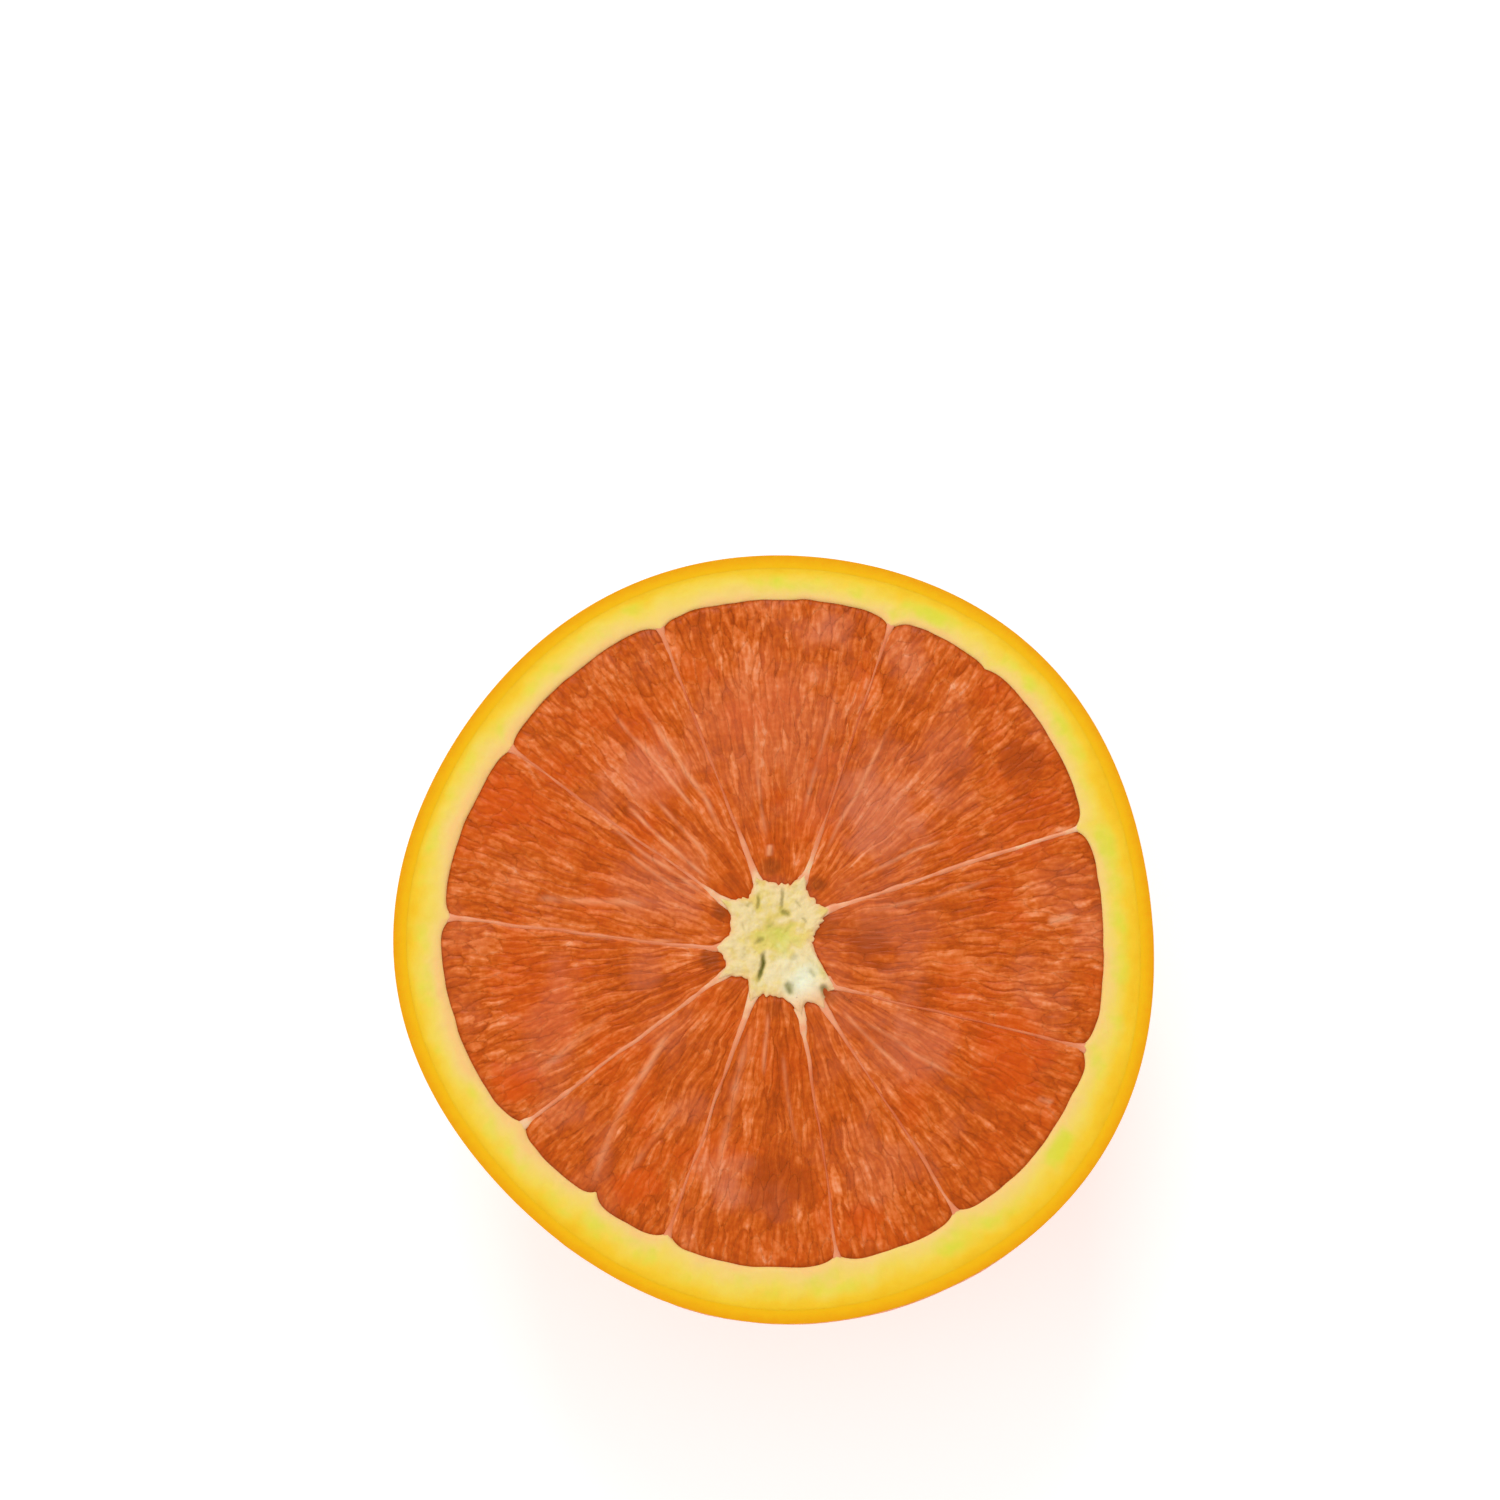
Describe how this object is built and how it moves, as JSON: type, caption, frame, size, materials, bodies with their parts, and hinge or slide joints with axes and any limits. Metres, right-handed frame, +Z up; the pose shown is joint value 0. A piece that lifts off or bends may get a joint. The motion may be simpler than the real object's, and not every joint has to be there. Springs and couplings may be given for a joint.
{
  "type": "orange half",
  "caption": "Halved round orange with a pebbled peel, a thick pale rind and juicy red-orange segments round a pale core; it lies on its dome with the cut face up.",
  "frame": {"origin": "centre of the small flat spot on which the dome rests", "axes": "+Z up, from the resting spot to the cut face and square to it; +X and +Y along the cut face"},
  "size_m": [0.0776, 0.079, 0.0377],
  "materials": {
    "flesh": "wet, translucent juice sacs",
    "pith": "matt, spongy, damp where it is cut",
    "peel": "waxy, pebbled with oil glands"
  },
  "bodies": {
    "root": {"orange_half": "flesh"}
  },
  "joints": []
}
